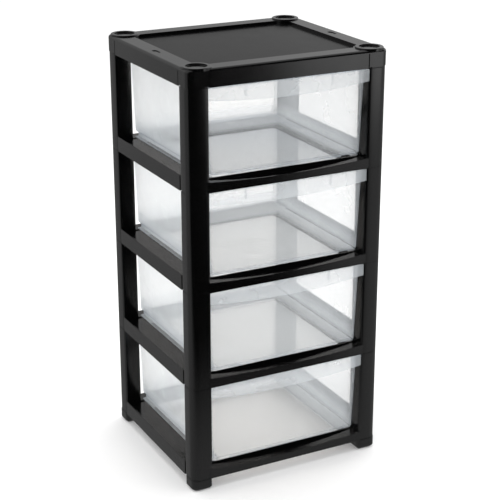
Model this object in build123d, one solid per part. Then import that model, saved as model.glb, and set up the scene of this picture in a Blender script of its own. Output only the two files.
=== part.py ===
from build123d import *
import os

# A free-standing tower of four pull-out drawers: a stack of corner posts and ring frames with
# a recessed top cover. Millimetres, +Z up, origin on the floor under the middle, front at -Y.

# Whole tower
TOWER_X = 390.0  # over the outer faces of the posts
TOWER_Y = 349.0
TIER_PITCH = 182.5  # seam to seam
FOOT_HEIGHT = 22.0  # floor to the lowest seam
COVER_HEIGHT = 31.0  # top seam to the rim
TOWER_RADIUS = 12.0  # outer upright corners, from the feet to the cover

# Corner posts, closed tubes
POST_X_FRONT = 39.5
POST_X_REAR = 33.0
POST_Y = 37.5
POST_RADIUS = 7.5  # the post's other corners
POST_WALL = 2.4
POST_EDGE_BREAK = 0.5

# Lug plates between the posts, and the hollow spigots on both sides of them
LUG_THICKNESS = 2.0
LUG_INSET = 1.0
SPIGOT_LENGTH = 14.0
SPIGOT_WALL = 2.0
SPIGOT_GAP = 0.3  # all round, inside the post

# Ring frames
FRAME_WALL = 2.5
FRAME_GAP = 0.4  # between a rail's end and the post beside it
LEDGE_HEIGHT = 17.6  # runner ledge above the seam
LEDGE_WIDTH = 51.5  # side of the tower to the ring's open middle
FRONT_RAIL_DEPTH = 26.5  # front or rear of the tower to the ring's open middle
WINDOW_RADIUS = 10.0
SIDE_LIP_HEIGHT = 27.0
SIDE_LIP_THICKNESS = 3.0
SIDE_LIP_ROUND = 1.3
GUTTER_WIDTH = 4.0  # dark groove between the side lip and the ledge
FRONT_LIP_THICKNESS = 3.0
FRONT_LIP_END_HEIGHT = 18.0
FRONT_LIP_MIDDLE_HEIGHT = 12.0
FRONT_LIP_REACH = 5.5  # past the post's inner face, into its rounded corner
FRONT_STEP = 1.5  # from the front lip down to the surface behind it
TONGUE_DEPTH = 10.0  # overlap that ties a rail to its lug plate
RIB_THICKNESS = 1.8
SIDE_RIBS = 5
FRONT_RIBS = 6

# Feet
FOOT_CHAMFER = 4.5
FOOT_FLOOR = 4.0

# Top cover
COVER_WALL = 2.6
COVER_ROUND = 5.0
RIM_WIDTH = 34.0
PANEL_DEPTH = 5.0
PANEL_RADIUS = 8.0
GROOVE_WIDTH = 2.0
GROOVE_DEPTH = 1.6
GROOVE_STOP = 1.0  # below the rounded top edge
DIMPLE_LENGTH = 24.0
DIMPLE_WIDTH = 9.0
DIMPLE_DEPTH = 1.2
DIMPLE_INSET = 18.0  # middle of the mark from the tower's side
DIMPLE_Y = -10.0

# Corner caps, plugged into the cover
CAP_DIAMETER = 51.0
CAP_INSET_X = 26.7  # middle of the cap from the tower's side and front
CAP_INSET_Y = 22.0
CAP_PROUD = 2.5
CAP_SINK = 3.0
CAP_FLOOR = 2.5
CAP_ROUND = 1.4
CAP_RECESS_DIAMETER = 37.0
CAP_STEM_DIAMETER = 24.0
CAP_STEM_WALL = 2.0
CAP_STEM_LENGTH = 9.0
CAP_GAP = 0.3
CAP_PAD_THICKNESS = 3.0

# Drawers
DRAWER_TOP_GAP = 1.0  # under the ring above
DRAWER_SIDE_GAP = 1.3  # flange to the post's inner face
FLANGE_OVERHANG = 1.0  # flange past the side wall
FLANGE_REAR = 3.5  # flange past the rear wall
FLANGE_THICKNESS = 2.0
DRAWER_WALL = 2.0
DRAWER_FLOOR = 2.2
DRAWER_FLOOR_HEIGHT = 25.0  # underside of the floor above the seam
DRAWER_FRONT_INSET = 8.5  # front of the tower to the drawer's front wall at its top edge
DRAWER_REAR_INSET = 6.5
SIDE_TAPER = 4.7
END_TAPER = 4.0
DRAWER_RADIUS = 9.0
BEND_HEIGHT = 16.0  # slanted band round the floor
BEND_SIDE = 11.0
BEND_END = 5.0
BEND_KNEE_RISE = 0.3  # shares of the band's height and inset at its knee
BEND_KNEE_INSET = 0.42
LIP_THICKNESS = 2.2
LIP_SIDE_REACH = 1.3  # past the post's inner face, in front of its rounded corner
LIP_END_HEIGHT = 21.5
LIP_MIDDLE_HEIGHT = 30.0
GUSSET_INSET = 70.5  # from the post's inner face
GUSSET_THICKNESS = 1.6
KEEL_INSET = 42.5  # from the post's inner face to the keel's end
KEEL_DROP = 3.0
RUNNER_LIFT = 0.3  # running gap over the ledge
RUNNER_THICKNESS = 2.2
RUNNER_INSET = 2.0  # runner's edge inside the post's inner face
RUNNER_WIDTH = 8.5
RUNNER_END = 18.0  # runner stops short of the drawer's ends
RUNNER_ROOT = 0.6  # share of the band's height where the runner's web meets it
EAR_REACH = 17.0  # stop ear past the post's inner face
EAR_DEPTH = 22.0
EAR_POST_GAP = 3.0  # in front of the rear post
EAR_DROP = 6.0

CORNERS = {"front_left": (-1, -1), "front_right": (1, -1), "rear_left": (-1, 1), "rear_right": (1, 1)}
TIER_NAMES = ["lowest", "lower", "upper", "highest"]
TIERS = len(TIER_NAMES)
INNER_FRONT_X = TOWER_X / 2 - POST_X_FRONT
INNER_REAR_X = TOWER_X / 2 - POST_X_REAR
INNER_Y = TOWER_Y / 2 - POST_Y
WINDOW_X = TOWER_X - 2 * LEDGE_WIDTH
WINDOW_Y = TOWER_Y - 2 * FRONT_RAIL_DEPTH
DRAWER_FRONT_Y = -TOWER_Y / 2 + DRAWER_FRONT_INSET
DRAWER_REAR_Y = TOWER_Y / 2 - DRAWER_REAR_INSET
PANEL_X = TOWER_X - 2 * RIM_WIDTH
PANEL_Y = TOWER_Y - 2 * RIM_WIDTH
LUG_HALF = LUG_THICKNESS / 2
TOP_SEAM = FOOT_HEIGHT + TIERS * TIER_PITCH
RIM_Z = TOP_SEAM + COVER_HEIGHT
SEAMS = [FOOT_HEIGHT + tier * TIER_PITCH for tier in range(TIERS)]


def block(x_range, y_range, z_range):
    """Box between three pairs of limits."""
    size = [high - low for low, high in (x_range, y_range, z_range)]
    middle = [(high + low) / 2 for low, high in (x_range, y_range, z_range)]
    return Pos(*middle) * Box(*size)


def both_sides(solid):
    """A solid and its mirror image across the middle plane."""
    return solid + mirror(solid, about=Plane.YZ)


def tower_outline(inset):
    """Outline of the whole tower seen from above, drawn in by inset."""
    return RectangleRounded(TOWER_X - 2 * inset, TOWER_Y - 2 * inset, TOWER_RADIUS - inset)


def corner_section(side_x, side_y, inset):
    """Outline of the corner post, drawn in by inset, or grown where inset is negative."""
    post_x = POST_X_FRONT if side_y < 0 else POST_X_REAR
    middle = Pos(side_x * (TOWER_X - post_x) / 2, side_y * (TOWER_Y - POST_Y) / 2)
    post = middle * RectangleRounded(post_x - 2 * inset, POST_Y - 2 * inset, POST_RADIUS - inset)
    return post & tower_outline(inset)


def corner_prism(corner, inset, low, high):
    """Post outline raised between two heights."""
    return Pos(0, 0, low) * extrude(corner_section(*corner, inset), high - low)


def corner_tube(corner, inset, wall, low, high):
    """Open tube along the post."""
    return corner_prism(corner, inset, low, high) - corner_prism(corner, inset + wall, low, high)


def make_post(corner):
    """Closed tube between two lug plates, with its end edges broken, as seen from the seam under it."""
    low = LUG_HALF
    high = TIER_PITCH - LUG_HALF
    outer = corner_prism(corner, 0, low, high)
    ends = outer.faces().filter_by(Axis.Z)
    outer = chamfer(ends.edges(), POST_EDGE_BREAK)
    return outer - corner_prism(corner, POST_WALL, low, high)


def corner_joint(corner, seam, rise):
    """Lug plate with a spigot below it, and one above it if rise is more than the plate."""
    plate = corner_prism(corner, LUG_INSET, seam - LUG_HALF, seam + LUG_HALF)
    spigot_inset = POST_WALL + SPIGOT_GAP
    return plate + corner_tube(corner, spigot_inset, SPIGOT_WALL, seam - SPIGOT_LENGTH, seam + rise)


def tray_plan(inset):
    """Plan of the ledge that runs round the ring's window, drawn in by inset."""
    side_x = TOWER_X / 2 - SIDE_LIP_THICKNESS - GUTTER_WIDTH
    front_y = WINDOW_Y / 2 + FRAME_WALL
    sides = Rectangle(2 * (side_x - inset), 2 * (INNER_Y - FRAME_GAP - inset))
    inner = Rectangle(2 * (INNER_FRONT_X - FRAME_GAP - inset), 2 * (front_y - inset))
    rear_low = WINDOW_Y / 2 - FRAME_WALL + inset
    rear_high = TOWER_Y / 2 - inset
    rear = Rectangle(2 * (INNER_REAR_X - FRAME_GAP - inset), rear_high - rear_low)
    rear = Pos(0, (rear_low + rear_high) / 2) * rear
    window = RectangleRounded(WINDOW_X + 2 * inset, WINDOW_Y + 2 * inset, WINDOW_RADIUS)
    return sides + inner + rear - window


def arched_profile(half, drop, side_inset):
    """Front view of the front rail: level below, arched above and lowered by drop."""
    low = -LUG_HALF
    end = FRONT_LIP_END_HEIGHT - drop
    crown = FRONT_LIP_MIDDLE_HEIGHT - drop
    x = half - side_inset
    top = ThreePointArc((-x, end), (0, crown), (x, end))
    sides = Polyline((-x, end), (-x, low), (x, low), (x, end))
    return make_face(top + sides)


def front_prism(profile, y_front, y_rear):
    """Front view profile carried back between two depths."""
    return extrude(Plane.XZ.offset(-y_rear) * profile, y_rear - y_front)


def make_front_rail():
    """Scooped lip with a surface behind it and ribs below, as seen from the seam."""
    y_front = -TOWER_Y / 2
    y_lip = y_front + FRONT_LIP_THICKNESS
    y_rear = -WINDOW_Y / 2
    half = INNER_FRONT_X - FRAME_GAP
    lip = front_prism(arched_profile(INNER_FRONT_X + FRONT_LIP_REACH, 0, 0), y_front, y_lip)
    for corner in [(-1, -1), (1, -1)]:
        lip -= corner_prism(corner, -FRAME_GAP, -LUG_THICKNESS, SIDE_LIP_HEIGHT)
    whole = front_prism(arched_profile(half, FRONT_STEP, 0), y_lip, y_rear)
    inner_profile = arched_profile(half, FRONT_STEP + FRAME_WALL, FRAME_WALL)
    hollow = front_prism(inner_profile, y_lip, y_rear - FRAME_WALL)
    rail = lip + (whole - hollow)
    rib_pitch = 2 * half / (FRONT_RIBS + 1)
    for number in range(FRONT_RIBS):
        x = -half + rib_pitch * (number + 1)
        rib = block(
            (x - RIB_THICKNESS / 2, x + RIB_THICKNESS / 2),
            (y_lip - RIB_THICKNESS, y_rear),
            (-LUG_HALF, FRONT_LIP_END_HEIGHT),
        )
        rail += rib & whole
    return rail


def make_side_rail_parts():
    """Right side lip, its gutter and the ribs under the ledge."""
    outer_x = TOWER_X / 2
    half_y = INNER_Y - FRAME_GAP
    lip = block((outer_x - SIDE_LIP_THICKNESS, outer_x), (-half_y, half_y), (-LUG_HALF, SIDE_LIP_HEIGHT))
    lip = fillet(lip.faces().sort_by(Axis.Z)[-1].edges().filter_by(Axis.Y), SIDE_LIP_ROUND)
    gutter_x = outer_x - SIDE_LIP_THICKNESS - GUTTER_WIDTH - FRAME_WALL
    parts = lip + block((gutter_x, outer_x), (-half_y, half_y), (-LUG_HALF, LUG_HALF))
    rib_pitch = 2 * half_y / (SIDE_RIBS + 1)
    for number in range(SIDE_RIBS):
        y = -half_y + rib_pitch * (number + 1)
        parts += block(
            (WINDOW_X / 2, gutter_x + FRAME_WALL),
            (y - RIB_THICKNESS / 2, y + RIB_THICKNESS / 2),
            (-LUG_HALF, LEDGE_HEIGHT),
        )
    return parts


def make_tongues():
    """Plates at seam level that tie the right side's rails to its two lug plates."""
    outer_x = TOWER_X / 2 - LUG_INSET - POST_RADIUS
    rear_x = INNER_REAR_X - FRAME_GAP
    front = block(
        (WINDOW_X / 2, outer_x),
        (-INNER_Y - TONGUE_DEPTH, -INNER_Y + TONGUE_DEPTH),
        (-LUG_HALF, LUG_HALF),
    )
    rear = block(
        (WINDOW_X / 2, outer_x),
        (INNER_Y - TONGUE_DEPTH, INNER_Y + TONGUE_DEPTH),
        (-LUG_HALF, LUG_HALF),
    )
    back = block(
        (rear_x - TONGUE_DEPTH, rear_x + TONGUE_DEPTH),
        (INNER_Y, TOWER_Y / 2 - FRAME_WALL),
        (-LUG_HALF, LUG_HALF),
    )
    ahead = block(
        (INNER_FRONT_X - TONGUE_DEPTH, INNER_FRONT_X + TONGUE_DEPTH),
        (-TOWER_Y / 2 + FRONT_LIP_THICKNESS, -INNER_Y),
        (-LUG_HALF, LUG_HALF),
    )
    return front + rear + back + ahead


def make_frame():
    """One moulding round a window, with rails on all sides and four joints, as seen from its seam."""
    ledge = Pos(0, 0, -LUG_HALF) * extrude(tray_plan(0), LEDGE_HEIGHT + LUG_HALF)
    ledge -= Pos(0, 0, -LUG_HALF) * extrude(tray_plan(FRAME_WALL), LEDGE_HEIGHT + LUG_HALF - FRAME_WALL)
    ring = ledge + make_front_rail() + both_sides(make_side_rail_parts() + make_tongues())
    for corner in CORNERS.values():
        ring += corner_joint(corner, 0, SPIGOT_LENGTH)
    return ring


def make_foot(corner):
    """Cup under the lowest lug plate, with a wide chamfer round its base."""
    high = FOOT_HEIGHT - LUG_HALF
    cup = corner_prism(corner, 0, 0, high)
    cup = chamfer(cup.faces().sort_by(Axis.Z)[0].edges(), FOOT_CHAMFER)
    return cup - corner_prism(corner, POST_WALL, FOOT_FLOOR, high)


def cap_place(corner):
    """Middle of a corner cap, at the rim's height."""
    side_x, side_y = corner
    return Pos(side_x * (TOWER_X / 2 - CAP_INSET_X), side_y * (TOWER_Y / 2 - CAP_INSET_Y), RIM_Z)


def disc(diameter, low, high):
    """Upright cylinder between two heights measured from the rim."""
    return Pos(0, 0, (low + high) / 2) * Cylinder(diameter / 2, high - low)


def cap_pads(low):
    """Discs a wall wider than the caps, from a height under the rim to above it."""
    pads = Part()
    for corner in CORNERS.values():
        pads += cap_place(corner) * disc(CAP_DIAMETER + 2 * COVER_WALL, low, COVER_ROUND)
    return pads


def make_cover_hollow():
    """Space inside the cover, which leaves the corner columns and the pads under the caps."""
    low = TOP_SEAM - LUG_HALF
    under_panel = RIM_Z - PANEL_DEPTH - COVER_WALL
    under_rim = RIM_Z - COVER_WALL
    inside = tower_outline(COVER_WALL)
    rim_inside = tower_outline(COVER_ROUND)
    step = RectangleRounded(PANEL_X + 2 * COVER_WALL, PANEL_Y + 2 * COVER_WALL, PANEL_RADIUS + COVER_WALL)
    hollow = Pos(0, 0, low) * extrude(inside, under_panel - low)
    hollow += Pos(0, 0, under_panel) * extrude(rim_inside - step, under_rim - under_panel)
    for corner in CORNERS.values():
        hollow -= corner_prism(corner, 0, low, RIM_Z)
    return hollow - cap_pads(-PANEL_DEPTH - COVER_WALL)


def make_cover():
    """Recessed panel with a raised rim, skirts down to the top seam and corner joints."""
    low = TOP_SEAM - LUG_HALF
    column_low = TOP_SEAM + LUG_HALF
    body = Pos(0, 0, low) * extrude(tower_outline(0), RIM_Z - low)
    body = fillet(body.faces().sort_by(Axis.Z)[-1].edges(), COVER_ROUND)
    panel = RectangleRounded(PANEL_X, PANEL_Y, PANEL_RADIUS)
    pocket = Pos(0, 0, RIM_Z - PANEL_DEPTH) * extrude(panel, PANEL_DEPTH)
    body -= pocket - cap_pads(-PANEL_DEPTH)
    body -= make_cover_hollow()
    stem_hole = disc(CAP_STEM_DIAMETER + 2 * CAP_GAP, -CAP_SINK - CAP_STEM_LENGTH - CAP_GAP, 0)
    seat = disc(CAP_DIAMETER + 2 * CAP_GAP, -CAP_SINK, COVER_ROUND)
    for corner in CORNERS.values():
        body -= corner_prism(corner, POST_WALL, column_low, RIM_Z - CAP_SINK - CAP_PAD_THICKNESS)
        body -= corner_prism(corner, -GROOVE_DEPTH, low, column_low)
        body += corner_joint(corner, TOP_SEAM, LUG_HALF)
        body -= cap_place(corner) * (seat + stem_hole)
    return body - make_cover_grooves() - make_dimples()


def make_cover_grooves():
    """Upright grooves between the corner blocks and the skirts."""
    z_range = (TOP_SEAM - LUG_THICKNESS, RIM_Z - COVER_ROUND - GROOVE_STOP)
    half = GROOVE_WIDTH / 2
    grooves = Part()
    for side_x, side_y in CORNERS.values():
        x = side_x * TOWER_X / 2
        y = side_y * TOWER_Y / 2
        x_inner = side_x * (INNER_FRONT_X if side_y < 0 else INNER_REAR_X)
        y_inner = side_y * INNER_Y
        grooves += block((x - GROOVE_DEPTH, x + GROOVE_DEPTH), (y_inner - half, y_inner + half), z_range)
        grooves += block((x_inner - half, x_inner + half), (y - GROOVE_DEPTH, y + GROOVE_DEPTH), z_range)
    return grooves


def make_dimples():
    """Shallow oval thumb marks on the side rims."""
    slot = Rot(0, 0, 90) * SlotOverall(DIMPLE_LENGTH, DIMPLE_WIDTH)
    slot = Pos(TOWER_X / 2 - DIMPLE_INSET, DIMPLE_Y, RIM_Z - DIMPLE_DEPTH) * slot
    return both_sides(extrude(slot, 2 * DIMPLE_DEPTH))


def make_cap(corner):
    """Round dished cap with a hollow stem."""
    top = disc(CAP_DIAMETER, -CAP_SINK, CAP_PROUD)
    top = fillet(top.faces().sort_by(Axis.Z)[-1].edges(), CAP_ROUND)
    top -= disc(CAP_RECESS_DIAMETER, -CAP_SINK + CAP_FLOOR, CAP_PROUD)
    stem_low = -CAP_SINK - CAP_STEM_LENGTH
    stem = disc(CAP_STEM_DIAMETER, stem_low, -CAP_SINK)
    stem -= disc(CAP_STEM_DIAMETER - 2 * CAP_STEM_WALL, stem_low, -CAP_SINK)
    return cap_place(corner) * (top + stem)


# Drawer heights are measured from the seam under it
DRAWER_TOP = TIER_PITCH - LUG_HALF - DRAWER_TOP_GAP
FLANGE_X = INNER_FRONT_X - DRAWER_SIDE_GAP
BODY_X = FLANGE_X - FLANGE_OVERHANG
BODY_DEPTH = DRAWER_TOP - DRAWER_FLOOR_HEIGHT


def drawer_section(height, side_inset, end_inset, wall=0.0):
    """Rounded outline of the tapered drawer at one height above the seam."""
    share = (DRAWER_TOP - height) / BODY_DEPTH
    half_x = BODY_X - SIDE_TAPER * share - side_inset - wall
    y_front = DRAWER_FRONT_Y + END_TAPER * share + end_inset + wall
    y_rear = DRAWER_REAR_Y - END_TAPER * share - end_inset - wall
    outline = RectangleRounded(2 * half_x, y_rear - y_front, DRAWER_RADIUS - wall / 2)
    return Pos(0, (y_front + y_rear) / 2, height) * outline


def drawer_loft(floor, wall):
    """Tapered tub with a slanted band round its floor."""
    knee = floor + BEND_HEIGHT * BEND_KNEE_RISE
    bend = floor + BEND_HEIGHT
    sections = [
        drawer_section(floor, BEND_SIDE, BEND_END, wall),
        drawer_section(knee, BEND_SIDE * BEND_KNEE_INSET, BEND_END * BEND_KNEE_INSET, wall),
        drawer_section(bend, 0, 0, wall),
        drawer_section(DRAWER_TOP, 0, 0, wall),
    ]
    return loft(sections, ruled=True)


def make_lip():
    """Hanging front lip with an arched lower edge."""
    half = INNER_FRONT_X + LIP_SIDE_REACH
    end = DRAWER_TOP - LIP_END_HEIGHT
    crown = DRAWER_TOP - LIP_MIDDLE_HEIGHT
    edge = ThreePointArc((-half, end), (0, crown), (half, end))
    frame = Polyline((-half, end), (-half, DRAWER_TOP), (half, DRAWER_TOP), (half, end))
    y_front = -TOWER_Y / 2
    return front_prism(make_face(edge + frame), y_front, y_front + LIP_THICKNESS)


def make_flange():
    """Flat rim round the drawer's mouth, reaching forward to the lip."""
    y_front = -TOWER_Y / 2 + LIP_THICKNESS / 2
    y_rear = DRAWER_REAR_Y + FLANGE_REAR
    plate = Rectangle(2 * FLANGE_X, y_rear - y_front)
    plate = fillet(plate.vertices().group_by(Axis.Y)[-1], DRAWER_RADIUS)
    plate = Pos(0, (y_front + y_rear) / 2, DRAWER_TOP - FLANGE_THICKNESS) * plate
    return extrude(plate, FLANGE_THICKNESS)


def make_runner():
    """Right runner: a web from the slanted band down to a foot that slides on the ledge."""
    outer = INNER_FRONT_X - RUNNER_INSET
    inner = outer - RUNNER_WIDTH
    low = LEDGE_HEIGHT + RUNNER_LIFT
    root = DRAWER_FLOOR_HEIGHT + BEND_HEIGHT * RUNNER_ROOT
    web = inner + RUNNER_THICKNESS
    outline = Polyline(
        (inner, low), (outer, low), (outer, low + RUNNER_THICKNESS), (web, low + RUNNER_THICKNESS),
        (web, root), (inner, root), close=True,
    )
    y_front = DRAWER_FRONT_Y + RUNNER_END
    y_rear = DRAWER_REAR_Y - RUNNER_END
    return front_prism(make_face(outline), y_front, y_rear)


def make_ear():
    """Right stop ear, which meets the back of the front post when the drawer is full out."""
    y_rear = INNER_Y - EAR_POST_GAP
    y_front = y_rear - EAR_DEPTH
    x_outer = INNER_FRONT_X + EAR_REACH
    plate = block((BODY_X, x_outer), (y_front, y_rear), (DRAWER_TOP - FLANGE_THICKNESS, DRAWER_TOP))
    stop = block(
        (BODY_X, x_outer), (y_front, y_front + FLANGE_THICKNESS), (DRAWER_TOP - EAR_DROP, DRAWER_TOP)
    )
    return plate + stop


def make_gussets():
    """Upright webs between the lip and the front wall."""
    x = INNER_FRONT_X - GUSSET_INSET
    web = block(
        (x - GUSSET_THICKNESS / 2, x + GUSSET_THICKNESS / 2),
        (-TOWER_Y / 2 + LIP_THICKNESS / 2, DRAWER_FRONT_Y + DRAWER_WALL / 2),
        (DRAWER_TOP - LIP_END_HEIGHT, DRAWER_TOP),
    )
    return both_sides(web)


def make_keel():
    """Low strip under the middle of the drawer's front edge."""
    y_front = DRAWER_FRONT_Y + END_TAPER + BEND_END
    half = INNER_FRONT_X - KEEL_INSET
    return block(
        (-half, half),
        (y_front, y_front + DRAWER_WALL),
        (DRAWER_FLOOR_HEIGHT - KEEL_DROP, DRAWER_FLOOR_HEIGHT + DRAWER_FLOOR / 2),
    )


def make_drawer():
    """One clear moulding, closed on the ledges of its ring, as seen from the seam under it."""
    shell = drawer_loft(DRAWER_FLOOR_HEIGHT, 0) + make_flange() + make_lip() + make_gussets()
    shell += both_sides(make_runner() + make_ear()) + make_keel()
    return shell - drawer_loft(DRAWER_FLOOR_HEIGHT + DRAWER_FLOOR, DRAWER_WALL)


def tier_pieces():
    """The pieces that every tier repeats, each with the end of its name."""
    pieces = {"frame": make_frame(), "drawer": make_drawer()}
    for place, corner in CORNERS.items():
        pieces[f"{place}_post"] = make_post(corner)
    return pieces


def build_parts():
    """Every piece of the tower by its node name."""
    parts = {"top_cover": make_cover()}
    for place, corner in CORNERS.items():
        parts[f"{place}_cap"] = make_cap(corner)
        parts[f"{place}_foot"] = make_foot(corner)
    repeated = tier_pieces()
    for level, seam in zip(TIER_NAMES, SEAMS):
        for name, piece in repeated.items():
            parts[f"{level}_{name}"] = Pos(0, 0, seam) * piece
    return parts


os.makedirs("parts", exist_ok=True)
for node, part in build_parts().items():
    export_step(part, f"parts/{node}.step")
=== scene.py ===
"""A free-standing tower of four hazy clear drawers in black moulded frames, seen in a pale studio.

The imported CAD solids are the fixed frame. The black mouldings are finished from their solids with
softened edges, the corner posts and the drawers are moulded anew over theirs, and every piece gets
a procedural plastic. Sizes are in metres and heights are measured from the floor, unless a class
says otherwise.
"""

import logging
import math
from dataclasses import dataclass, field, replace
from enum import Enum, IntEnum

import bmesh
import bpy
from mathutils import Matrix, Vector


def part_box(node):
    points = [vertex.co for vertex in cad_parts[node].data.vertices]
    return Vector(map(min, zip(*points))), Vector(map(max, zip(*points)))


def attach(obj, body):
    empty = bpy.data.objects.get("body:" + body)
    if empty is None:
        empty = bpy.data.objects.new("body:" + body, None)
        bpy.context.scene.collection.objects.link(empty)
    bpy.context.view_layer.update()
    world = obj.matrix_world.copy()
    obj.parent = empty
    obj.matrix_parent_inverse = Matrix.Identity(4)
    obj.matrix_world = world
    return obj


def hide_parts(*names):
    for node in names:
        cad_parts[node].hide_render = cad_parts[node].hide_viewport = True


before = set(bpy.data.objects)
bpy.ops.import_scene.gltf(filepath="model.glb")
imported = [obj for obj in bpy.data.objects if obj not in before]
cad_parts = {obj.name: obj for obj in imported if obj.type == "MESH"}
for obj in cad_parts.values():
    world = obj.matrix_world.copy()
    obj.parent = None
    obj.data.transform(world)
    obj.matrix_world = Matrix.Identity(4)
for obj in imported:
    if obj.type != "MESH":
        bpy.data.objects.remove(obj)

log = logging.getLogger("drawer_tower")

Point = tuple[float, float, float]
Colour = tuple[float, float, float]
Band = tuple[float, float]
Socket = bpy.types.NodeSocket
Mesh = bmesh.types.BMesh
Edges = list[bmesh.types.BMEdge]

MM = 0.001

# Height of the seam under the lowest drawer, and from each seam to the next.
FIRST_SEAM = 22.0 * MM
PITCH = 182.5 * MM

# How many clear walls a ray may cross.
WALLS_CROSSED = 48

# A face lies flat where its normal's upright share is more than this.
FLAT = 0.9

# Places nearer to each other than this are the same.
SAME = 1e-6

# An edge that turns by more than this stays hard in the shading, where larger faces weigh more.
SHARP_ANGLE = math.radians(38)
NORMAL_WEIGHT = 60

LEVELS = ("lowest", "lower", "upper", "highest")

# Signs of each corner's place across and along the tower.
PLACES = {
    "front_left": (-1, -1),
    "front_right": (1, -1),
    "rear_left": (-1, 1),
    "rear_right": (1, 1),
}


class Slot(Enum):
    """The record's material slots."""

    BLACK = "black_plastic"
    CLEAR = "clear_plastic"


class Surface(IntEnum):
    """Numbers of a drawer's finishes: its walls, its lip with keel and gussets, and its floor."""

    WALL = 0
    LIP = 1
    FLOOR = 2


class Ray(Enum):
    """Outputs of the Light Path node, each of which tells one kind of ray."""

    CAMERA = "Is Camera Ray"
    SHADOW = "Is Shadow Ray"
    DIFFUSE = "Is Diffuse Ray"
    GLOSSY = "Is Glossy Ray"
    TRANSMISSION = "Is Transmission Ray"


# ---------------------------------------------------------------------------
# Small tools shared by the finishes
# ---------------------------------------------------------------------------


@dataclass
class NodeBoard:
    """A node tree with short calls to add nodes and join them."""

    tree: bpy.types.NodeTree

    # Sockets of a Mix node that is set to colours.
    FACTOR, FIRST, SECOND, RESULT = 0, 6, 7, 2

    def add(self, kind: str, **inputs: object) -> bpy.types.Node:
        """Add a node and set its inputs.

        Args:
            kind: The node's type, such as ShaderNodeMath.
            inputs: Values by input name, with underscores for spaces; a socket is joined instead.

        Returns:
            The new node.
        """
        node = self.tree.nodes.new(kind)
        for name, value in inputs.items():
            self.put(node, name.replace("_", " "), value)
        return node

    def put(self, node: bpy.types.Node, name: str | int, value: object) -> None:
        """Set one input of a node, or join a socket to it.

        Args:
            node: The node that takes the value.
            name: The input's name or number.
            value: A number, colour or vector, or the socket to join.
        """
        if isinstance(value, Socket):
            self.tree.links.new(value, node.inputs[name])
        else:
            node.inputs[name].default_value = value

    def maths(self, operation: str, *values: object, clamp: bool = False) -> Socket:
        """Add a Math node.

        Args:
            operation: The node's operation, such as MULTIPLY.
            values: Its inputs in order, as numbers or sockets.
            clamp: Whether the result is kept between 0 and 1.

        Returns:
            The result's socket.
        """
        node = self.add("ShaderNodeMath")
        node.operation = operation
        node.use_clamp = clamp
        for number, value in enumerate(values):
            self.put(node, number, value)
        return node.outputs[0]

    def span(self, value: object, low: float, high: float, to_low: float, to_high: float) -> Socket:
        """Map a value smoothly from one range to another.

        Args:
            value: The socket to map.
            low: Start of the range that comes in.
            high: End of the range that comes in.
            to_low: What low becomes.
            to_high: What high becomes.

        Returns:
            The result's socket.
        """
        node = self.add("ShaderNodeMapRange")
        node.interpolation_type = "SMOOTHSTEP"
        for number, setting in enumerate((value, low, high, to_low, to_high)):
            self.put(node, number, setting)
        return node.outputs[0]

    def blend(self, factor: object, first: Colour, second: Colour) -> Socket:
        """Mix two colours.

        Args:
            factor: Share of the second colour, as a number or socket.
            first: The colour at 0.
            second: The colour at 1.

        Returns:
            The colour's socket.
        """
        node = self.add("ShaderNodeMix")
        node.data_type = "RGBA"
        self.put(node, self.FACTOR, factor)
        self.put(node, self.FIRST, (*first, 1.0))
        self.put(node, self.SECOND, (*second, 1.0))
        return node.outputs[self.RESULT]

    def layer(self, share: object, under: Socket, over: Socket) -> Socket:
        """Mix two shaders.

        Args:
            share: Share of the second shader, as a number or socket.
            under: The shader at 0.
            over: The shader at 1.

        Returns:
            The mixed shader's socket.
        """
        node = self.add("ShaderNodeMixShader")
        for number, value in enumerate((share, under, over)):
            self.put(node, number, value)
        return node.outputs[0]

    def rays(self, *kinds: Ray) -> Socket:
        """Tell rays of some kinds from the others.

        Args:
            kinds: The kinds of ray.

        Returns:
            A value that is 1 for a ray of these kinds and 0 for any other.
        """
        path = self.add("ShaderNodeLightPath")
        found = path.outputs[kinds[0].value]
        for kind in kinds[1:]:
            found = self.maths("ADD", found, path.outputs[kind.value], clamp=True)
        return found

    def place(self, scale: Point = (1.0, 1.0, 1.0)) -> Socket:
        """Object coordinates through a Mapping node.

        Args:
            scale: How many pattern units stand in one metre, per axis.

        Returns:
            The vector's socket.
        """
        where = self.add("ShaderNodeTexCoord")
        mapping = self.add("ShaderNodeMapping")
        self.put(mapping, "Vector", where.outputs["Object"])
        self.put(mapping, "Scale", scale)
        return mapping.outputs["Vector"]

    def axes(self, vector: Socket) -> dict[str, Socket]:
        """Take a vector apart.

        Args:
            vector: The vector's socket.

        Returns:
            Its sockets by the names X, Y and Z.
        """
        return {part.name: part for part in self.add("ShaderNodeSeparateXYZ", Vector=vector).outputs}

    def show(self, shader: Socket, kind: str = "ShaderNodeOutputMaterial") -> None:
        """Join a shader to a new output node."""
        self.put(self.add(kind), "Surface", shader)


def new_board(name: str) -> tuple[bpy.types.Material, NodeBoard]:
    """Start an empty node material.

    Args:
        name: The material's name.

    Returns:
        The material and its node board.
    """
    material = bpy.data.materials.new(name)
    material.use_nodes = True
    material.node_tree.nodes.clear()
    return material, NodeBoard(material.node_tree)


# ---------------------------------------------------------------------------
# Finishes
# ---------------------------------------------------------------------------


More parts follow.
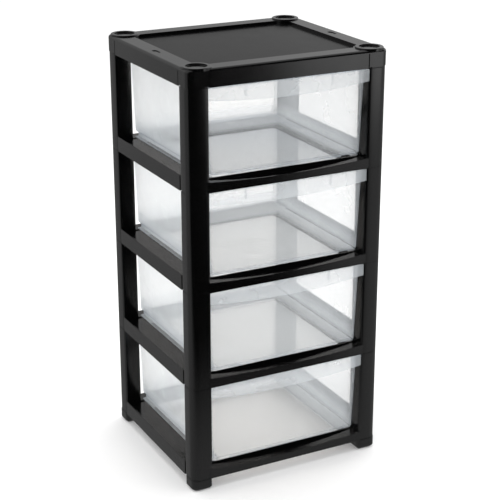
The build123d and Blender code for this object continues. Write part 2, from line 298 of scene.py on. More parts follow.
@dataclass(frozen=True)
class BlackMoulding:
    """Satin black moulded plastic with a faint grain, cloudy gloss and fine handling marks.

    gloss is the roughness of its plain surface. A pattern's size is given by how many of its units
    stand in one metre. The bands of the clouds and scuffs are the values of their noise that they
    grow over, and their gloss is what they add to the roughness.
    """

    name: str
    tone: float = 0.0012
    dark_cast: Colour = (1.0, 1.0, 1.04)
    pale_cast: Colour = (1.5, 1.5, 1.6)
    gloss: float = 0.15
    shine: float = 1.0
    grain_per_metre: float = 2600.0
    grain_depth: float = 0.000002
    ripples_per_metre: float = 9.0
    ripple_depth: float = 0.00003
    clouds_per_metre: float = 26.0
    cloud_band: Band = (0.30, 0.72)
    cloud_gloss: Band = (-0.01, 0.015)
    scuffs_per_metre: Point = (150.0, 60.0, 260.0)
    scuff_band: Band = (0.60, 0.74)
    scuff_gloss: float = 0.02

    def material(self) -> bpy.types.Material:
        """Build the material.

        Returns:
            The finished material.
        """
        material, board = new_board(self.name)
        spot, streaks = board.place(), board.place(self.scuffs_per_metre)
        noise = "ShaderNodeTexNoise"
        cloud = board.add(noise, Vector=spot, Scale=self.clouds_per_metre, Detail=4.0, Roughness=0.55)
        grain = board.add(noise, Vector=spot, Scale=self.grain_per_metre, Detail=2.0)
        ripple = board.add(noise, Vector=spot, Scale=self.ripples_per_metre, Detail=1.0)
        scuff = board.add(noise, Vector=streaks, Scale=1.0, Detail=3.0)
        marks = board.span(scuff.outputs["Fac"], *self.scuff_band, 0.0, 1.0)
        levels = [self.gloss + change for change in self.cloud_gloss]
        dull = board.span(cloud.outputs["Fac"], *self.cloud_band, *levels)
        roughness = board.maths("MULTIPLY_ADD", marks, self.scuff_gloss, dull)
        dark = tuple(self.tone * cast for cast in self.dark_cast)
        pale = tuple(self.tone * cast for cast in self.pale_cast)
        colour = board.blend(cloud.outputs["Fac"], dark, pale)
        fine = board.add("ShaderNodeBump", Distance=self.grain_depth, Height=grain.outputs["Fac"])
        broad = board.add("ShaderNodeBump", Distance=self.ripple_depth, Height=ripple.outputs["Fac"])
        board.put(broad, "Normal", fine.outputs["Normal"])
        shader = board.add("ShaderNodeBsdfPrincipled", Base_Color=colour, Roughness=roughness)
        board.put(shader, "Specular IOR Level", self.shine)
        board.put(shader, "Normal", broad.outputs["Normal"])
        board.show(shader.outputs[0])
        return material


@dataclass(frozen=True)
class HazeBorder:
    """Where a drawer's haze thickens round its floor, and how it fades there.

    The wall fade is measured up from the seam under the drawer. A face counts as a side wall where
    it looks across by more than side_turn, and as the rear wall where it lies past rear_wall.
    """

    wall_fade: Band = (0.030, 0.060)
    side_turn: float = 0.7
    rear_wall: float = 0.1
    rear_fade: Band = (0.065, 0.100)
    right_fade: Band = (0.105, 0.128)
    left_fade: Band = (-0.142, -0.128)

    def low_on_walls(self, board: NodeBoard) -> Socket:
        """Low on the rear and side walls.

        Args:
            board: The material's node board.

        Returns:
            A value from 0, away from there, to 1.
        """
        spot = board.axes(board.place())
        height = board.maths("MODULO", board.maths("SUBTRACT", spot["Z"], FIRST_SEAM), PITCH)
        facing = board.axes(board.add("ShaderNodeNewGeometry").outputs["True Normal"])
        on_side = board.maths("GREATER_THAN", board.maths("ABSOLUTE", facing["X"]), self.side_turn)
        at_rear = board.maths("GREATER_THAN", spot["Y"], self.rear_wall)
        low = board.span(height, *self.wall_fade, 1.0, 0.0)
        return board.maths("MULTIPLY", low, board.maths("MAXIMUM", on_side, at_rear))

    def along_floor(self, board: NodeBoard) -> Socket:
        """Along the rear and sides of the floor.

        Args:
            board: The material's node board.

        Returns:
            A value from 0, in the middle of the floor, to 1.
        """
        spot = board.axes(board.place())
        rear = board.span(spot["Y"], *self.rear_fade, 0.0, 1.0)
        right = board.span(spot["X"], *self.right_fade, 0.0, 1.0)
        left = board.span(spot["X"], *self.left_fade, 1.0, 0.0)
        return board.maths("MAXIMUM", rear, board.maths("MAXIMUM", right, left))


@dataclass(frozen=True)
class HazyClear:
    """Clear plastic with a milky haze that thickens where a wall is seen edge on.

    A turn is a Layer Weight, 0 for a wall seen face on and 1 edge on. rim_haze is added within the
    border, low on the walls if by_height, or else along the floor. Light that passes, and gloss
    that mirrors the wall, meet only light_share of the haze and the coat. The flow is the
    moulding's slow unevenness: the haze is multiplied by flow_haze, and flow_gloss is added to
    gloss, the roughness.
    """

    name: str
    haze_facing: float = 0.11
    haze_grazing: float = 0.34
    haze_turn: Band = (0.12, 0.70)
    border: HazeBorder = HazeBorder()
    rim_haze: float = 0.26
    by_height: bool = True
    coat: float = 0.2
    coat_roughness: float = 0.08
    coat_index: float = 1.45
    light_share: float = 0.02
    glow_share: float = 0.5
    milk: Colour = (0.90, 0.955, 1.0)
    edge_milk: Colour = (0.42, 0.51, 0.64)
    tint: Colour = (0.995, 0.991, 0.986)
    edge_tint: Colour = (0.55, 0.63, 0.73)
    edge_turn: Band = (0.69, 0.92)
    gloss: float = 0.22
    shine: float = 0.3
    flow_per_metre: float = 14.0
    flow_depth: float = 0.00003
    haze_band: Band = (0.25, 0.75)
    flow_haze: Band = (0.92, 1.08)
    gloss_band: Band = (0.3, 0.7)
    flow_gloss: Band = (-0.05, 0.06)

    def material(self) -> bpy.types.Material:
        """Build the material.

        Returns:
            The finished material.
        """
        material, board = new_board(self.name)
        noise = "ShaderNodeTexNoise"
        spot = board.place()
        slow = board.add(noise, Vector=spot, Scale=self.flow_per_metre, Detail=3.0, Roughness=0.5)
        flow = slow.outputs["Fac"]
        turned = board.add("ShaderNodeLayerWeight", Blend=0.5).outputs["Facing"]
        lighting = board.rays(Ray.SHADOW, Ray.DIFFUSE, Ray.GLOSSY)
        passing = board.maths("MULTIPLY_ADD", lighting, self.light_share - 1.0, 1.0)
        veil = self.veil(board, turned)
        uneven = board.span(flow, *self.haze_band, *self.flow_haze)
        haze = board.maths("MULTIPLY", board.maths("MULTIPLY", veil, uneven), passing, clamp=True)
        edge = board.span(turned, *self.edge_turn, 0.0, 1.0)
        tint = board.blend(edge, self.tint, self.edge_tint)
        clear = board.add("ShaderNodeBsdfTransparent", Color=tint)
        whole = board.layer(haze, clear.outputs[0], self.milky(board, edge, flow))
        gloss = board.add("ShaderNodeBsdfGlossy", Roughness=self.coat_roughness)
        inside = board.add("ShaderNodeNewGeometry").outputs["Backfacing"]
        outside = board.maths("MULTIPLY_ADD", inside, -self.coat, self.coat)
        mirror = board.add("ShaderNodeFresnel", IOR=self.coat_index).outputs[0]
        bright = board.maths("MULTIPLY", mirror, outside)
        coat = board.maths("MULTIPLY", bright, passing, clamp=True)
        board.show(board.layer(coat, whole, gloss.outputs[0]))
        return material

    def veil(self, board: NodeBoard, turned: Socket) -> Socket:
        """How thick the haze is.

        Args:
            board: The material's node board.
            turned: How far the wall is turned away.

        Returns:
            The haze's share, with the border's.
        """
        rim = self.border.low_on_walls(board) if self.by_height else self.border.along_floor(board)
        even = board.span(turned, *self.haze_turn, self.haze_facing, self.haze_grazing)
        return board.maths("MULTIPLY_ADD", rim, self.rim_haze, even)

    def milky(self, board: NodeBoard, edge: Socket, flow: Socket) -> Socket:
        """Shader of the haze alone, which light both meets and passes.

        Args:
            board: The material's node board.
            edge: How far the wall is seen edge on, from 0 to 1.
            flow: The moulding's unevenness.

        Returns:
            The shader's socket.
        """
        milk = board.blend(edge, self.milk, self.edge_milk)
        levels = [self.gloss + change for change in self.flow_gloss]
        roughness = board.span(flow, *self.gloss_band, *levels)
        wave = board.add("ShaderNodeBump", Distance=self.flow_depth, Height=flow)
        body = board.add("ShaderNodeBsdfPrincipled", Base_Color=milk, Roughness=roughness)
        board.put(body, "Specular IOR Level", self.shine)
        board.put(body, "Normal", wave.outputs["Normal"])
        glow = board.add("ShaderNodeBsdfTranslucent", Color=milk)
        return board.layer(self.glow_share, body.outputs[0], glow.outputs[0])


@dataclass(frozen=True)
class PaleFloor:
    """Matt white studio table that shows as white and keeps the object's soft shadow.

    Sight gets plain white for the share shown, and the lit table for the rest. In gloss the table
    glows with a painted reflection: the edge of a painted flag crosses it from the tower's front,
    along the line that front faces mirror. It is dark left of that edge, and right of it white far
    off and low_level nearer. Close in front of the tower it is at least near_level on both sides.
    The far and near fades are in Y.
    """

    name: str = "pale_floor"
    colour: float = 0.97
    mottle: float = 0.01
    mottle_per_metre: float = 60.0
    shown: float = 0.14
    painted_flag_slope: float = 0.5236
    front_y: float = -0.1745
    painted_flag_fade: Band = (-0.02, 0.24)
    far_fade: Band = (-3.2, -1.9)
    low_level: float = 0.30
    near_fade: Band = (-0.85, -0.18)
    near_level: float = 0.25

    def material(self) -> bpy.types.Material:
        """Build the material.

        Returns:
            The finished material.
        """
        material, board = new_board(self.name)
        where = board.place()
        grain = board.add("ShaderNodeTexNoise", Scale=self.mottle_per_metre, Detail=2.0, Vector=where)
        white = board.span(grain.outputs["Fac"], 0.0, 1.0, self.colour, self.colour + self.mottle)
        matt = board.add("ShaderNodeBsdfDiffuse", Color=white)
        seen, glossy = board.rays(Ray.CAMERA, Ray.TRANSMISSION), board.rays(Ray.GLOSSY)
        # In gloss the table glows with a painted reflection of a dark flag, which the tower mirrors.
        mirrored = board.maths("MULTIPLY", glossy, self.painted_reflection_level(board, board.axes(where)))
        strength = board.maths("ADD", seen, mirrored, clamp=True)
        glow = board.add("ShaderNodeEmission", Strength=strength)
        share = board.maths("MINIMUM", board.maths("MULTIPLY_ADD", seen, self.shown, glossy), 1.0)
        board.show(board.layer(share, matt.outputs[0], glow.outputs[0]))
        return material

    def painted_reflection_level(self, board: NodeBoard, spot: dict[str, Socket]) -> Socket:
        """How bright the table's painted reflection glows in gloss.

        Args:
            board: The material's node board.
            spot: The place on the table, by axis.

        Returns:
            A value from 0, black, to 1, white.
        """
        ahead = board.maths("SUBTRACT", spot["Y"], self.front_y)
        across = board.maths("MULTIPLY_ADD", ahead, self.painted_flag_slope, spot["X"])
        open_side = board.span(across, *self.painted_flag_fade, 0.0, 1.0)
        distant = board.span(spot["Y"], *self.far_fade, 1.0, self.low_level)
        near = board.span(spot["Y"], *self.near_fade, 0.0, self.near_level)
        return board.maths("MAXIMUM", board.maths("MULTIPLY", open_side, distant), near)


# ---------------------------------------------------------------------------
# Mesh helpers
# ---------------------------------------------------------------------------


def to_object(bm: Mesh, name: str, *materials: bpy.types.Material) -> bpy.types.Object:
    """Turn a bmesh into a smooth shaded object with its hard edges kept.

    Args:
        bm: The finished bmesh, which is freed.
        name: The object's name.
        materials: Its materials, in the order of its faces' numbers.

    Returns:
        The new object, at the origin.
    """
    mesh = bpy.data.meshes.new(name)
    bm.to_mesh(mesh)
    bm.free()
    for material in materials:
        mesh.materials.append(material)
    mesh.polygons.foreach_set("use_smooth", [True] * len(mesh.polygons))
    mesh.set_sharp_from_angle(angle=SHARP_ANGLE)
    thing = bpy.data.objects.new(name, mesh)
    bpy.context.scene.collection.objects.link(thing)
    weighted = thing.modifiers.new("even_normals", "WEIGHTED_NORMAL")
    weighted.keep_sharp = True
    weighted.weight = NORMAL_WEIGHT
    return thing


def hard_edges(bm: Mesh, degrees: float) -> Edges:
    """Edges whose two faces turn by more than an angle."""
    limit = math.radians(degrees)
    return [e for e in bm.edges if len(e.link_faces) == 2 and e.calc_face_angle(0.0) > limit]


def upright(edge: bmesh.types.BMEdge) -> bool:
    """Whether an edge stands straight up."""
    low, high = edge.verts[0].co, edge.verts[1].co
    return abs(low.x - high.x) + abs(low.y - high.y) < SAME


def lies_flat(face: bmesh.types.BMFace) -> bool:
    """Whether a face lies flat and looks up or down."""
    return abs(face.normal.z) > FLAT


def borders_flat(edge: bmesh.types.BMEdge) -> bool:
    """Whether an edge borders a face that lies flat."""
    return any(lies_flat(face) for face in edge.link_faces)


def soften(bm: Mesh, edges: Edges, radius: float, segments: int = 2) -> None:
    """Round edges.

    Args:
        bm: The bmesh to change.
        edges: The edges to round.
        radius: How far the rounding reaches from each edge.
        segments: Faces across the rounding.
    """
    bmesh.ops.bevel(
        bm, geom=edges, offset=radius, offset_type="OFFSET", segments=segments, profile=0.5,
        affect="EDGES", material=-1, clamp_overlap=True,
    )


def box_mesh(low: Vector, high: Vector) -> Mesh:
    """Start a bmesh with one box.

    Args:
        low: Lowest corner.
        high: Highest corner.

    Returns:
        The new bmesh.
    """
    bm = bmesh.new()
    size = Matrix.Diagonal((*(high - low), 1.0))
    bmesh.ops.create_cube(bm, size=1.0, matrix=Matrix.Translation((low + high) / 2) @ size)
    return bm


def add_mesh(bm: Mesh, other: Mesh, surface: Surface) -> None:
    """Move everything from one bmesh into another.

    Args:
        bm: The bmesh that takes it.
        other: The bmesh that is moved and freed.
        surface: The finish that its faces get.
    """
    for face in other.faces:
        face.material_index = surface
    carrier = bpy.data.meshes.new("carrier")
    other.to_mesh(carrier)
    other.free()
    bm.from_mesh(carrier)
    bpy.data.meshes.remove(carrier)


@dataclass
class Loft:
    """Skin through rounded rectangles, from its first outline to its last."""

    segments: int = 8
    bm: Mesh = field(default_factory=bmesh.new)
    loops: list[Edges] = field(default_factory=list)

    def ring(self, x: float, y_front: float, y_rear: float, height: float, radius: float) -> None:
        """Add the next outline.

        Args:
            x: Half its width.
            y_front: Its front side.
            y_rear: Its rear side.
            height: Its height.
            radius: Its corner radius.
        """
        spread = Matrix.Diagonal((x, (y_rear - y_front) / 2, 1.0, 1.0))
        place = Matrix.Translation((0.0, (y_front + y_rear) / 2, height)) @ spread
        made = bmesh.ops.create_grid(self.bm, x_segments=1, y_segments=1, size=1.0, matrix=place)
        bmesh.ops.bevel(
            self.bm, geom=made["verts"], offset=radius, offset_type="OFFSET", segments=self.segments,
            profile=0.5, affect="VERTICES", material=-1,
        )
        self.bm.faces.ensure_lookup_table()
        face = self.bm.faces[0]
        self.loops.append(list(face.edges))
        bmesh.ops.delete(self.bm, geom=[face], context="FACES_ONLY")

    def closed(self) -> Mesh:
        """Join the outlines into one closed skin.

        Known fault: two outlines at the same height are joined to each other's wrong sides. The
        faces between them cross the middle, and the skin then points inwards.

        Returns:
            The finished bmesh.
        """
        for first, second in zip(self.loops, self.loops[1:]):
            bmesh.ops.bridge_loops(self.bm, edges=first + second)
        for loop in (self.loops[0], self.loops[-1]):
            bmesh.ops.contextual_create(self.bm, geom=loop)
        bmesh.ops.recalc_face_normals(self.bm, faces=self.bm.faces[:])
        return self.bm


# ---------------------------------------------------------------------------
# Black mouldings
# ---------------------------------------------------------------------------


@dataclass
class FinishedSolid:
    """A CAD solid with its edges softened, as a moulding has them. Its angles are in degrees."""

    edge_radius: float = 0.45 * MM
    hard_angle: float = 28.0
    flat_angle: float = 0.5
    merge_reach: float = 0.003 * MM

    def build(self, node: str, material: bpy.types.Material) -> bpy.types.Object:
        """Copy a node's solid, merge its faces and round its edges.

        Args:
            node: The CAD node.
            material: Its finish.

        Returns:
            The piece that stands for the node.
        """
        bm = bmesh.new()
        bm.from_mesh(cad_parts[node].data)
        bmesh.ops.remove_doubles(bm, verts=bm.verts, dist=self.merge_reach)
        bmesh.ops.dissolve_limit(
            bm, angle_limit=math.radians(self.flat_angle), use_dissolve_boundaries=False,
            verts=bm.verts, edges=bm.edges,
        )
        soften(bm, hard_edges(bm, self.hard_angle), self.edge_radius)
        return to_object(bm, f"{node}_moulding", material)


@dataclass
class CornerPost:
    """Square post tube with slightly crowned faces and a rounder outer corner."""

    outer_radius: float = 12.0 * MM
    inner_radius: float = 2.5 * MM
    corner_segments: int = 8
    crown: float = 0.7 * MM
    crown_cuts: int = 7
    narrowest_face: float = 8.0 * MM
    edge_radius: float = 0.9 * MM

    def build(self, node: str, side: tuple[int, int], material: bpy.types.Material) -> bpy.types.Object:
        """Mould a post in the place of its CAD node.

        Args:
            node: The CAD node that it stands for.
            side: Signs of its place across and along the tower.
            material: Its finish.

        Returns:
            The post.
        """
        low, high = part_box(node)
        inset = Vector((self.crown, self.crown, 0.0))
        bm = box_mesh(low + inset, high - inset)
        edges = [e for e in bm.edges if upright(e)]
        edges.sort(key=lambda e: -(e.verts[0].co.x * side[0] + e.verts[0].co.y * side[1]))
        outer, *others = edges
        soften(bm, others, self.inner_radius, self.corner_segments)
        soften(bm, [outer], self.outer_radius, self.corner_segments)
        self.crown_faces(bm, (low + high) / 2, (high - low) / 2 - inset)
        soften(bm, [e for e in bm.edges if borders_flat(e)], self.edge_radius)
        return to_object(bm, f"{node}_tube", material)

    def crown_faces(self, bm: Mesh, middle: Vector, half: Vector) -> None:
        """Swell the flat faces outwards across their width.

        Args:
            bm: The post's bmesh.
            middle: Middle of the post.
            half: Half of its size.
        """
        across = [
            e for e in bm.edges
            if not upright(e) and e.calc_length() > self.narrowest_face and borders_flat(e)
        ]
        bmesh.ops.subdivide_edges(bm, edges=across, cuts=self.crown_cuts, use_grid_fill=False)
        for vert in bm.verts:
            away = vert.co - middle
            for axis, other in ((0, 1), (1, 0)):
                if abs(abs(away[axis]) - half[axis]) < SAME:
                    share = away[other] / half[other]
                    vert.co[axis] += math.copysign(self.crown * (1 - share * share), away[axis])


@dataclass
class BlackFrame:
    """Cover, caps, posts, ring frames and feet: everything that stands still."""

    finish: BlackMoulding = BlackMoulding("black_plastic_moulding")
    cap_finish: BlackMoulding = BlackMoulding("black_plastic_cap", gloss=0.12)
    panel_finish: BlackMoulding = BlackMoulding("black_plastic_panel", gloss=0.19, shine=0.06)
    panel_height: float = 778.0 * MM
    panel_reach: float = 0.5 * MM
    solid: FinishedSolid = field(default_factory=FinishedSolid)
    post: CornerPost = field(default_factory=CornerPost)

    def build(self) -> list[bpy.types.Object]:
        """Build and dress every black piece.

        Returns:
            The pieces, each on the tower's body.
        """
        material = self.finish.material()
        cap_material = self.cap_finish.material()
        cover = self.solid.build("top_cover", material)
        self.dress_panel(cover)
        pieces = [self.stand_for("top_cover", cover)]
        for place in PLACES:
            cap, foot = f"{place}_cap", f"{place}_foot"
            pieces.append(self.stand_for(cap, self.solid.build(cap, cap_material)))
            pieces.append(self.stand_for(foot, self.solid.build(foot, material)))
        for level in LEVELS:
            ring = f"{level}_frame"
            pieces.append(self.stand_for(ring, self.solid.build(ring, material)))
            for place, side in PLACES.items():
                node = f"{level}_{place}_post"
                pieces.append(self.stand_for(node, self.post.build(node, side, material)))
        return pieces

    def dress_panel(self, cover: bpy.types.Object) -> None:
        """Give the cover's recessed panel its duller finish.

        Args:
            cover: The cover's piece.
        """
        cover.data.materials.append(self.panel_finish.material())
        number = len(cover.data.materials) - 1
        for face in cover.data.polygons:
            if face.normal.z > FLAT and abs(face.center.z - self.panel_height) < self.panel_reach:
                face.material_index = number

    def stand_for(self, node: str, piece: bpy.types.Object) -> bpy.types.Object:
        """Put a piece on the tower in the place of its CAD node.

        Args:
            node: The node that it stands for.
            piece: The new piece.

        Returns:
            The same piece.
        """
        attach(piece, "tower")
        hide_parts(node)
        log.info("%s stands for %s, %d faces", piece.name, node, len(piece.data.polygons))
        return piece


# ---------------------------------------------------------------------------
# Drawers
# ---------------------------------------------------------------------------


@dataclass(frozen=True)
class Bar:
    """Small moulded bar, with its reach along each axis in millimetres and z from the seam."""

    x: Band
    y: Band
    z: Band
    edge_radius: float = 0.35

    def on(self, side: int) -> "Bar":
        """The same bar on the left, for -1, or the right, for 1."""
        low, high = sorted(side * x for x in self.x)
        return replace(self, x=(low, high))

    def mesh(self) -> Mesh:
        """Make the bar.

        Returns:
            Its bmesh, in metres, with softened edges.
        """
        low, high = (Vector(corner) * MM for corner in zip(self.x, self.y, self.z))
        bm = box_mesh(low, high)
        soften(bm, bm.edges[:], self.edge_radius * MM)
        return bm


@dataclass
class Drawer:
    """One clear tub. Heights are measured from the seam under it, and angles are in degrees.

    The bend is the band in which its wall slants in to the floor. The bars but the keel are those
    of its right side, and stand on the left as well.
    """

    level: str
    seam: float
    top: float = 180.5 * MM
    floor: float = 25.0 * MM
    floor_thickness: float = 2.2 * MM
    floor_reach: float = 5.0 * MM
    wall: float = 2.0 * MM
    wall_rows: int = 3
    half_x: float = 153.2 * MM
    front_y: float = -166.0 * MM
    rear_y: float = 168.0 * MM
    side_taper: float = 4.7 * MM
    end_taper: float = 4.0 * MM
    radius: float = 5.5 * MM
    bend_height: float = 5.0 * MM
    bend_side: float = 3.5 * MM
    bend_end: float = 3.0 * MM
    bend_power: float = 2.2
    bend_steps: int = 5
    flange_x: float = 154.2 * MM
    flange_front: float = -173.4 * MM
    flange_rear: float = 171.5 * MM
    flange_thickness: float = 2.0 * MM
    rim_angle: float = 50.0
    rim_reach: float = 3.0 * MM
    rim_radius: float = 0.5 * MM
    lip_x: float = 156.8 * MM
    lip_front: float = -174.5 * MM
    lip_thickness: float = 2.2 * MM
    lip_end: float = 21.5 * MM
    lip_middle: float = 30.0 * MM
    lip_columns: int = 28
    lip_rows: int = 4
    lip_angle: float = 60.0
    lip_radius: float = 0.7 * MM
    keel: Bar = Bar((-113.0, 113.0), (-157.0, -155.0), (22.0, 25.6))
    gussets: tuple[Bar, ...] = (Bar((84.2, 85.8), (-172.6, -165.4), (159.5, 179.0)),)
    runners: tuple[Bar, ...] = (
        Bar((139.5, 153.5), (-148.0, 150.0), (17.9, 20.1)),
        Bar((145.0, 147.2), (-148.0, 150.0), (19.9, 27.0)),
    )
    stop_ears: tuple[Bar, ...] = (
        Bar((153.9, 172.5), (112.0, 134.0), (178.5, 180.5)),
        Bar((153.9, 172.5), (112.0, 114.0), (174.5, 178.6)),
    )

    def build(self, *materials: bpy.types.Material) -> bpy.types.Object:
        """Mould the drawer in the place of its CAD node.

        Args:
            materials: Its finishes, in the order of the surfaces.

        Returns:
            The drawer, on its own body.
        """
        bm = self.tub()
        for face in bm.faces:
            low = face.calc_center_median().z < self.floor + self.floor_reach
            face.material_index = Surface.FLOOR if low and lies_flat(face) else Surface.WALL
        for part in (*self.both_sides(self.runners), *self.both_sides(self.stop_ears)):
            add_mesh(bm, part, Surface.WALL)
        for part in (self.lip(), self.keel.mesh(), *self.both_sides(self.gussets)):
            add_mesh(bm, part, Surface.LIP)
        bmesh.ops.translate(bm, vec=(0.0, 0.0, self.seam), verts=bm.verts)
        node = f"{self.level}_drawer"
        piece = to_object(bm, f"{node}_tub", *materials)
        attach(piece, f"{self.level}_drawer_body")
        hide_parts(node)
        log.info("%s stands for %s, %d faces", piece.name, node, len(piece.data.polygons))
        return piece

    def both_sides(self, bars: tuple[Bar, ...]) -> list[Mesh]:
        """The bars on the left, and then on the right."""
        return [bar.on(side).mesh() for side in (-1, 1) for bar in bars]

    def level_ring(self, loft: Loft, height: float, inset: float, bend: float) -> None:
        """Add one outline of the tub's wall to a loft.

        Args:
            loft: The loft that takes it.
            height: The outline's height above the seam.
            inset: How far it stands in from the outer skin.
            bend: How far into the slanted band it is, from 0 to 1.
        """
        share = (self.top - height) / (self.top - self.floor)
        x = self.half_x - self.side_taper * share - self.bend_side * bend - inset
        front = self.front_y + self.end_taper * share + self.bend_end * bend + inset
        rear = self.rear_y - self.end_taper * share - self.bend_end * bend - inset
        loft.ring(x, front, rear, height, self.radius - inset / 2)

    def skin(self, loft: Loft, floor: float, inset: float, upwards: bool) -> None:
        """Add one side of the wall to a loft, from the floor to the flange or back down.

        Args:
            loft: The loft that takes it.
            floor: Height of this side of the floor.
            inset: How far it stands in from the outer skin.
            upwards: Whether its outlines are added from below.
        """
        steps = [step / self.bend_steps for step in range(self.bend_steps + 1)]
        levels = [(floor + self.bend_height * step, (1 - step) ** self.bend_power) for step in steps]
        rim = self.top - (self.flange_thickness if upwards else 0.0)
        rise = rim - floor - self.bend_height
        rows = range(1, self.wall_rows + 1)
        levels += [(floor + self.bend_height + rise * row / self.wall_rows, 0.0) for row in rows]
        for height, bend in levels if upwards else reversed(levels):
            self.level_ring(loft, height, inset, bend)

    def tub(self) -> Mesh:
        """Closed skin of the floor, walls and flange.

        By the loft's known fault, the flange's flat faces cross the drawer's mouth.

        Returns:
            The tub's bmesh, with its rims rounded.
        """
        loft = Loft()
        self.skin(loft, self.floor, 0.0, True)
        for height in (self.top - self.flange_thickness, self.top):
            loft.ring(self.flange_x, self.flange_front, self.flange_rear, height, self.radius)
        self.skin(loft, self.floor + self.floor_thickness, self.wall, False)
        bm = loft.closed()
        hard = hard_edges(bm, self.rim_angle)
        soften(bm, [e for e in hard if e.verts[0].co.z > self.top - self.rim_reach], self.rim_radius)
        return bm

    def lip(self) -> Mesh:
        """Hanging front lip with an arched lower edge.

        Returns:
            The lip's bmesh.
        """
        bm = bmesh.new()
        place = Matrix.Translation((0.0, self.lip_front, self.top - self.lip_end / 2))
        size = Matrix.Diagonal((self.lip_x, 1.0, self.lip_end / 2, 1.0))
        stand = Matrix.Rotation(math.pi / 2, 4, "X")
        bmesh.ops.create_grid(
            bm, x_segments=self.lip_columns, y_segments=self.lip_rows, size=1.0,
            matrix=place @ size @ stand,
        )
        drop = self.lip_middle - self.lip_end
        for vert in bm.verts:
            share = vert.co.x / self.lip_x
            depth = (self.top - vert.co.z) / self.lip_end
            vert.co.z -= drop * (1 - share * share) * depth
        bmesh.ops.recalc_face_normals(bm, faces=bm.faces[:])
        if bm.faces[:][0].normal.y > 0:
            bmesh.ops.reverse_faces(bm, faces=bm.faces[:])
        bmesh.ops.solidify(bm, geom=bm.faces[:], thickness=self.lip_thickness)
        bmesh.ops.recalc_face_normals(bm, faces=bm.faces[:])
        soften(bm, hard_edges(bm, self.lip_angle), self.lip_radius)
        return bm


@dataclass
class DrawerSet:
    """The four drawers, alike but for their heights."""

    finish: HazyClear = HazyClear("hazy_clear_plastic")
    lip_finish: HazyClear = HazyClear("hazy_clear_lip", haze_facing=0.26, haze_grazing=0.38)
    floor_finish: HazyClear = HazyClear(
        "hazy_clear_floor", haze_facing=0.05, haze_grazing=0.10, rim_haze=0.38, by_height=False,
        coat=0.4,
    )

    def build(self) -> list[bpy.types.Object]:
        """Build the drawers from the lowest up.

        Returns:
            The drawers.
        """
        finishes = (self.finish, self.lip_finish, self.floor_finish)
        materials = [finish.material() for finish in finishes]
        seams = [FIRST_SEAM + PITCH * number for number in range(len(LEVELS))]
        return [Drawer(level, seam).build(*materials) for level, seam in zip(LEVELS, seams)]


# ---------------------------------------------------------------------------
# Studio and camera
# ---------------------------------------------------------------------------


@dataclass(frozen=True)
class StudioLamp:
    """Broad square lamp that points at the middle of the tower, with its power in watts."""

    name: str
    place: Point
    size: float
    power: float
    aim: Point = (0.0, 0.0, 0.35)

    def build(self) -> None:
        """Hang the lamp, unseen in gloss."""
        data = bpy.data.lights.new(self.name, "AREA")
        data.size = self.size
        data.energy = self.power
        lamp = bpy.data.objects.new(self.name, data)
        bpy.context.scene.collection.objects.link(lamp)
        lamp.location = self.place
        way = Vector(self.aim) - Vector(self.place)
        lamp.rotation_euler = way.to_track_quat("-Z", "Y").to_euler()
        lamp.visible_glossy = False


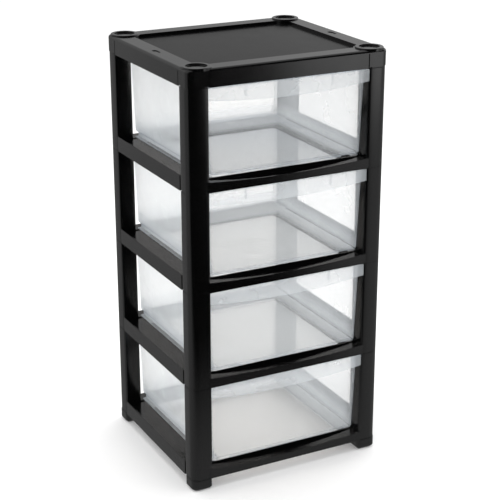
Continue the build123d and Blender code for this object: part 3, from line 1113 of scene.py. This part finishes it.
@dataclass
class Studio:
    """Pale table, pale room and two broad lamps.

    The room is white to sight and lights the tower evenly at room_level. In gloss it is white on
    the right, falls to back_level elsewhere, and is dim in front of the tower. The fades are in the
    directions across and along the tower.
    """

    floor: PaleFloor = PaleFloor()
    floor_size: float = 14.0
    room_level: float = 1.08
    right_fade: Band = (0.35, 0.95)
    back_level: float = 0.40
    front_fade: Band = (-0.6, -0.05)
    dim: float = 0.005
    lamps: tuple[StudioLamp, ...] = (
        StudioLamp("overhead_lamp", (0.2, 0.4, 2.4), 2.0, 30.0),
        StudioLamp("side_lamp", (2.4, 0.4, 1.6), 1.4, 9.0),
    )

    def build(self) -> None:
        """Build the floor, the room's light and the lamps."""
        bm = bmesh.new()
        bmesh.ops.create_grid(bm, x_segments=1, y_segments=1, size=self.floor_size)
        table = to_object(bm, "studio_table", self.floor.material())
        self.room()
        for lamp in self.lamps:
            lamp.build()
        log.info("the studio is set")

    def room(self) -> None:
        """Surround the scene with the room."""
        world = bpy.data.worlds.new("white_room")
        bpy.context.scene.world = world
        world.use_nodes = True
        world.node_tree.nodes.clear()
        board = NodeBoard(world.node_tree)
        way = board.axes(board.add("ShaderNodeTexCoord").outputs["Generated"])
        right = board.span(way["X"], *self.right_fade, self.back_level, 1.0)
        front = board.span(way["Y"], *self.front_fade, self.dim, 1.0)
        seen = board.rays(Ray.CAMERA, Ray.TRANSMISSION)
        mirrored = board.maths("MULTIPLY", board.rays(Ray.GLOSSY), board.maths("MULTIPLY", right, front))
        either = board.rays(Ray.CAMERA, Ray.TRANSMISSION, Ray.GLOSSY)
        lit = board.maths("MULTIPLY", board.maths("SUBTRACT", 1.0, either), self.room_level)
        level = board.maths("ADD", board.maths("ADD", seen, mirrored), lit)
        back = board.add("ShaderNodeBackground", Color=(1.0, 1.0, 1.0, 1.0), Strength=level)
        board.show(back.outputs[0], "ShaderNodeOutputWorld")


@dataclass(frozen=True)
class PhotoCamera:
    """Camera at the photograph's angle, found from the tower's seams and corners.

    Its angles are in degrees, and its lens and sensor in millimetres.
    """

    azimuth: float = -27.64
    elevation: float = 20.19
    distance: float = 2.6320
    target: Point = (0.01176, 0.0, 0.38084)
    lens: float = 99.79
    sensor: float = 36.0
    reach: float = 60.0

    def build(self) -> bpy.types.Object:
        """Make the camera and put it in the scene.

        Returns:
            The camera.
        """
        data = bpy.data.cameras.new("photo_camera")
        data.lens = self.lens
        data.sensor_width = self.sensor
        data.clip_end = self.reach
        camera = bpy.data.objects.new("photo_camera", data)
        bpy.context.scene.collection.objects.link(camera)
        turn, lift = math.radians(self.azimuth), math.radians(self.elevation)
        level = math.cos(lift)
        back = Vector((math.sin(turn) * level, -math.cos(turn) * level, math.sin(lift)))
        camera.location = Vector(self.target) + back * self.distance
        camera.rotation_euler = (-back).to_track_quat("-Z", "Y").to_euler()
        bpy.context.scene.camera = camera
        return camera


def main() -> None:
    """Build the studio, the tower and the drawers."""
    logging.basicConfig(level=logging.INFO, format="%(name)s: %(message)s")
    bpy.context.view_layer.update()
    bpy.context.scene.view_settings.view_transform = "Standard"
    bpy.context.scene.cycles.transparent_max_bounces = WALLS_CROSSED
    PhotoCamera().build()
    Studio().build()
    BlackFrame().build()
    DrawerSet().build()


if __name__ == "__main__":
    main()
